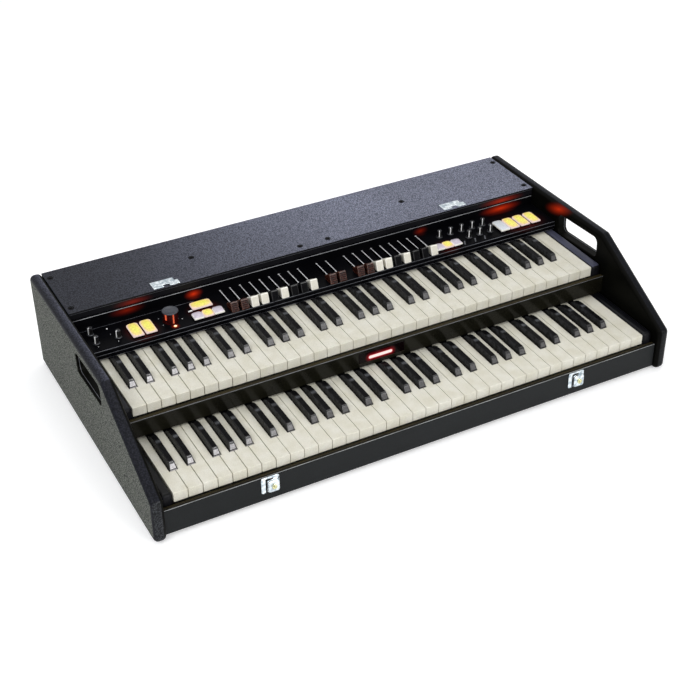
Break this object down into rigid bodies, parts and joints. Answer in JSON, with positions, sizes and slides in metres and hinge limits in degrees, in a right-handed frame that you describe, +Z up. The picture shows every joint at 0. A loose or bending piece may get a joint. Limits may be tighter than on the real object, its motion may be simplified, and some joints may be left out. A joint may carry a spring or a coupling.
{
  "type": "electronic organ",
  "caption": "Portable electronic organ with two manuals of keys, drawbars, lit rocker tabs and knobs on a low case with cut-out handle slots in its side panels.",
  "frame": {"origin": "centre of the part's footprint, on the surface that its rubber feet stand on", "axes": "+X along the keys from bass to treble, +Y from the player to the back of the case, +Z up"},
  "size_m": [0.9268, 0.532, 0.1805],
  "materials": {
    "side_paint": "matt textured paint over the wooden side panels",
    "black_wood": "black lacquered wood",
    "lid_paint": "textured slate paint on sheet",
    "panel_metal": "glossy black paint on folded sheet",
    "steel_frame": "zinc plated steel",
    "ivory": "ivory coloured moulded plastic",
    "ebony": "black moulded plastic",
    "brown_cap": "brown moulded plastic",
    "white_cap": "white moulded plastic",
    "black_cap": "black moulded plastic",
    "lit_tab": "translucent plastic, lit from below",
    "knob": "black moulded plastic",
    "chrome": "bright chrome plate",
    "badge_red": "plain translucent red window",
    "board_green": "glass fibre circuit board",
    "plate_paint": "black powder coat on sheet steel"
  },
  "bodies": {
    "case": {"left_side_panel": "side_paint", "left_cheek": "black_wood", "lid_keeper_left": "chrome", "front_catch_left": "chrome", "right_side_panel": "side_paint", "right_cheek": "black_wood", "lid_keeper_right": "chrome", "front_catch_right": "chrome", "base_board": "black_wood", "back_panel": "black_wood", "top_lid": "lid_paint", "lid_rail": "black_wood", "front_rail": "black_wood", "middle_rail": "black_wood", "badge_lens": "badge_red", "control_panel": "panel_metal", "rear_connector_plate": "plate_paint", "main_circuit_board": "board_green", "lower_key_frame": "steel_frame", "lower_naturals": "ivory", "lower_sharps": "ebony", "upper_key_frame": "steel_frame", "upper_naturals": "ivory", "upper_sharps": "ebony"},
    "lower_key_c": {"lower_key_c": "ivory"},
    "lower_key_d": {"lower_key_d": "ivory"},
    "lower_key_e": {"lower_key_e": "ivory"},
    "lower_key_f": {"lower_key_f": "ivory"},
    "lower_key_g": {"lower_key_g": "ivory"},
    "lower_key_a": {"lower_key_a": "ivory"},
    "lower_key_b": {"lower_key_b": "ivory"},
    "lower_key_c_sharp": {"lower_key_c_sharp": "ebony"},
    "lower_key_d_sharp": {"lower_key_d_sharp": "ebony"},
    "lower_key_f_sharp": {"lower_key_f_sharp": "ebony"},
    "lower_key_g_sharp": {"lower_key_g_sharp": "ebony"},
    "lower_key_a_sharp": {"lower_key_a_sharp": "ebony"},
    "upper_key_c": {"upper_key_c": "ivory"},
    "upper_key_d": {"upper_key_d": "ivory"},
    "upper_key_e": {"upper_key_e": "ivory"},
    "upper_key_f": {"upper_key_f": "ivory"},
    "upper_key_g": {"upper_key_g": "ivory"},
    "upper_key_a": {"upper_key_a": "ivory"},
    "upper_key_b": {"upper_key_b": "ivory"},
    "upper_key_c_sharp": {"upper_key_c_sharp": "ebony"},
    "upper_key_d_sharp": {"upper_key_d_sharp": "ebony"},
    "upper_key_f_sharp": {"upper_key_f_sharp": "ebony"},
    "upper_key_g_sharp": {"upper_key_g_sharp": "ebony"},
    "upper_key_a_sharp": {"upper_key_a_sharp": "ebony"},
    "upper_drawbar_1": {"upper_drawbar_1": "brown_cap"},
    "upper_drawbar_2": {"upper_drawbar_2": "brown_cap"},
    "upper_drawbar_3": {"upper_drawbar_3": "white_cap"},
    "upper_drawbar_4": {"upper_drawbar_4": "white_cap"},
    "upper_drawbar_5": {"upper_drawbar_5": "black_cap"},
    "upper_drawbar_6": {"upper_drawbar_6": "white_cap"},
    "upper_drawbar_7": {"upper_drawbar_7": "black_cap"},
    "upper_drawbar_8": {"upper_drawbar_8": "black_cap"},
    "upper_drawbar_9": {"upper_drawbar_9": "white_cap"},
    "rocker_tab": {"rocker_tab": "lit_tab"},
    "vibrato_knob": {"vibrato_knob": "knob"},
    "power_switch": {"power_switch": "black_cap"}
  },
  "joints": [
    {"name": "lower_key_c_hinge", "type": "hinge", "parent": "case", "child": "lower_key_c", "pos_m": [-0.41125, -0.0628, 0.0537], "axis": [1, 0, 0], "range_deg": [0, 3.1], "stiffness_Nm_per_rad": 1, "springref_deg": -6.88},
    {"name": "lower_key_d_hinge", "type": "hinge", "parent": "case", "child": "lower_key_d", "pos_m": [-0.38775, -0.0628, 0.0537], "axis": [1, 0, 0], "range_deg": [0, 3.1], "stiffness_Nm_per_rad": 1, "springref_deg": -6.88},
    {"name": "lower_key_e_hinge", "type": "hinge", "parent": "case", "child": "lower_key_e", "pos_m": [-0.36425, -0.0628, 0.0537], "axis": [1, 0, 0], "range_deg": [0, 3.1], "stiffness_Nm_per_rad": 1, "springref_deg": -6.88},
    {"name": "lower_key_f_hinge", "type": "hinge", "parent": "case", "child": "lower_key_f", "pos_m": [-0.34075, -0.0628, 0.0537], "axis": [1, 0, 0], "range_deg": [0, 3.1], "stiffness_Nm_per_rad": 1, "springref_deg": -6.88},
    {"name": "lower_key_g_hinge", "type": "hinge", "parent": "case", "child": "lower_key_g", "pos_m": [-0.31725, -0.0628, 0.0537], "axis": [1, 0, 0], "range_deg": [0, 3.1], "stiffness_Nm_per_rad": 1, "springref_deg": -6.88},
    {"name": "lower_key_a_hinge", "type": "hinge", "parent": "case", "child": "lower_key_a", "pos_m": [-0.29375, -0.0628, 0.0537], "axis": [1, 0, 0], "range_deg": [0, 3.1], "stiffness_Nm_per_rad": 1, "springref_deg": -6.88},
    {"name": "lower_key_b_hinge", "type": "hinge", "parent": "case", "child": "lower_key_b", "pos_m": [-0.27025, -0.0628, 0.0537], "axis": [1, 0, 0], "range_deg": [0, 3.1], "stiffness_Nm_per_rad": 1, "springref_deg": -6.88},
    {"name": "lower_key_c_sharp_hinge", "type": "hinge", "parent": "case", "child": "lower_key_c_sharp", "pos_m": [-0.40185, -0.0628, 0.0537], "axis": [1, 0, 0], "range_deg": [0, 3.1], "stiffness_Nm_per_rad": 1, "springref_deg": -6.88},
    {"name": "lower_key_d_sharp_hinge", "type": "hinge", "parent": "case", "child": "lower_key_d_sharp", "pos_m": [-0.37365, -0.0628, 0.0537], "axis": [1, 0, 0], "range_deg": [0, 3.1], "stiffness_Nm_per_rad": 1, "springref_deg": -6.88},
    {"name": "lower_key_f_sharp_hinge", "type": "hinge", "parent": "case", "child": "lower_key_f_sharp", "pos_m": [-0.33236, -0.0628, 0.0537], "axis": [1, 0, 0], "range_deg": [0, 3.1], "stiffness_Nm_per_rad": 1, "springref_deg": -6.88},
    {"name": "lower_key_g_sharp_hinge", "type": "hinge", "parent": "case", "child": "lower_key_g_sharp", "pos_m": [-0.3055, -0.0628, 0.0537], "axis": [1, 0, 0], "range_deg": [0, 3.1], "stiffness_Nm_per_rad": 1, "springref_deg": -6.88},
    {"name": "lower_key_a_sharp_hinge", "type": "hinge", "parent": "case", "child": "lower_key_a_sharp", "pos_m": [-0.27864, -0.0628, 0.0537], "axis": [1, 0, 0], "range_deg": [0, 3.1], "stiffness_Nm_per_rad": 1, "springref_deg": -6.88},
    {"name": "upper_key_c_hinge", "type": "hinge", "parent": "case", "child": "upper_key_c", "pos_m": [-0.41125, 0.0883, 0.107], "axis": [1, 0, 0], "range_deg": [0, 3.1], "stiffness_Nm_per_rad": 1, "springref_deg": -6.88},
    {"name": "upper_key_d_hinge", "type": "hinge", "parent": "case", "child": "upper_key_d", "pos_m": [-0.38775, 0.0883, 0.107], "axis": [1, 0, 0], "range_deg": [0, 3.1], "stiffness_Nm_per_rad": 1, "springref_deg": -6.88},
    {"name": "upper_key_e_hinge", "type": "hinge", "parent": "case", "child": "upper_key_e", "pos_m": [-0.36425, 0.0883, 0.107], "axis": [1, 0, 0], "range_deg": [0, 3.1], "stiffness_Nm_per_rad": 1, "springref_deg": -6.88},
    {"name": "upper_key_f_hinge", "type": "hinge", "parent": "case", "child": "upper_key_f", "pos_m": [-0.34075, 0.0883, 0.107], "axis": [1, 0, 0], "range_deg": [0, 3.1], "stiffness_Nm_per_rad": 1, "springref_deg": -6.88},
    {"name": "upper_key_g_hinge", "type": "hinge", "parent": "case", "child": "upper_key_g", "pos_m": [-0.31725, 0.0883, 0.107], "axis": [1, 0, 0], "range_deg": [0, 3.1], "stiffness_Nm_per_rad": 1, "springref_deg": -6.88},
    {"name": "upper_key_a_hinge", "type": "hinge", "parent": "case", "child": "upper_key_a", "pos_m": [-0.29375, 0.0883, 0.107], "axis": [1, 0, 0], "range_deg": [0, 3.1], "stiffness_Nm_per_rad": 1, "springref_deg": -6.88},
    {"name": "upper_key_b_hinge", "type": "hinge", "parent": "case", "child": "upper_key_b", "pos_m": [-0.27025, 0.0883, 0.107], "axis": [1, 0, 0], "range_deg": [0, 3.1], "stiffness_Nm_per_rad": 1, "springref_deg": -6.88},
    {"name": "upper_key_c_sharp_hinge", "type": "hinge", "parent": "case", "child": "upper_key_c_sharp", "pos_m": [-0.40185, 0.0883, 0.107], "axis": [1, 0, 0], "range_deg": [0, 3.1], "stiffness_Nm_per_rad": 1, "springref_deg": -6.88},
    {"name": "upper_key_d_sharp_hinge", "type": "hinge", "parent": "case", "child": "upper_key_d_sharp", "pos_m": [-0.37365, 0.0883, 0.107], "axis": [1, 0, 0], "range_deg": [0, 3.1], "stiffness_Nm_per_rad": 1, "springref_deg": -6.88},
    {"name": "upper_key_f_sharp_hinge", "type": "hinge", "parent": "case", "child": "upper_key_f_sharp", "pos_m": [-0.33236, 0.0883, 0.107], "axis": [1, 0, 0], "range_deg": [0, 3.1], "stiffness_Nm_per_rad": 1, "springref_deg": -6.88},
    {"name": "upper_key_g_sharp_hinge", "type": "hinge", "parent": "case", "child": "upper_key_g_sharp", "pos_m": [-0.3055, 0.0883, 0.107], "axis": [1, 0, 0], "range_deg": [0, 3.1], "stiffness_Nm_per_rad": 1, "springref_deg": -6.88},
    {"name": "upper_key_a_sharp_hinge", "type": "hinge", "parent": "case", "child": "upper_key_a_sharp", "pos_m": [-0.27864, 0.0883, 0.107], "axis": [1, 0, 0], "range_deg": [0, 3.1], "stiffness_Nm_per_rad": 1, "springref_deg": -6.88},
    {"name": "upper_drawbar_1_slide", "type": "slide", "parent": "case", "child": "upper_drawbar_1", "axis": [0, 1, 0], "range_m": [0, 0.052]},
    {"name": "upper_drawbar_2_slide", "type": "slide", "parent": "case", "child": "upper_drawbar_2", "axis": [0, 1, 0], "range_m": [0, 0.052]},
    {"name": "upper_drawbar_3_slide", "type": "slide", "parent": "case", "child": "upper_drawbar_3", "axis": [0, 1, 0], "range_m": [0, 0.052]},
    {"name": "upper_drawbar_4_slide", "type": "slide", "parent": "case", "child": "upper_drawbar_4", "axis": [0, 1, 0], "range_m": [0, 0.052]},
    {"name": "upper_drawbar_5_slide", "type": "slide", "parent": "case", "child": "upper_drawbar_5", "axis": [0, 1, 0], "range_m": [0, 0.052]},
    {"name": "upper_drawbar_6_slide", "type": "slide", "parent": "case", "child": "upper_drawbar_6", "axis": [0, 1, 0], "range_m": [0, 0.052]},
    {"name": "upper_drawbar_7_slide", "type": "slide", "parent": "case", "child": "upper_drawbar_7", "axis": [0, 1, 0], "range_m": [0, 0.052]},
    {"name": "upper_drawbar_8_slide", "type": "slide", "parent": "case", "child": "upper_drawbar_8", "axis": [0, 1, 0], "range_m": [0, 0.052]},
    {"name": "upper_drawbar_9_slide", "type": "slide", "parent": "case", "child": "upper_drawbar_9", "axis": [0, 1, 0], "range_m": [0, 0.052]},
    {"name": "rocker_tab_hinge", "type": "hinge", "parent": "case", "child": "rocker_tab", "pos_m": [-0.3535, 0.0685, 0.1426], "axis": [1, 0, 0], "range_deg": [0, 8], "stiffness_Nm_per_rad": 0.1, "springref_deg": -11.46},
    {"name": "vibrato_knob_hinge", "type": "hinge", "parent": "case", "child": "vibrato_knob", "pos_m": [-0.2912, 0.0718, 0.1426], "axis": [0, 0, 1], "range_deg": [-75, 75]},
    {"name": "power_switch_hinge", "type": "hinge", "parent": "case", "child": "power_switch", "pos_m": [0.19, 0.2613, 0.091], "axis": [1, 0, 0], "range_deg": [0, 10]}
  ]
}
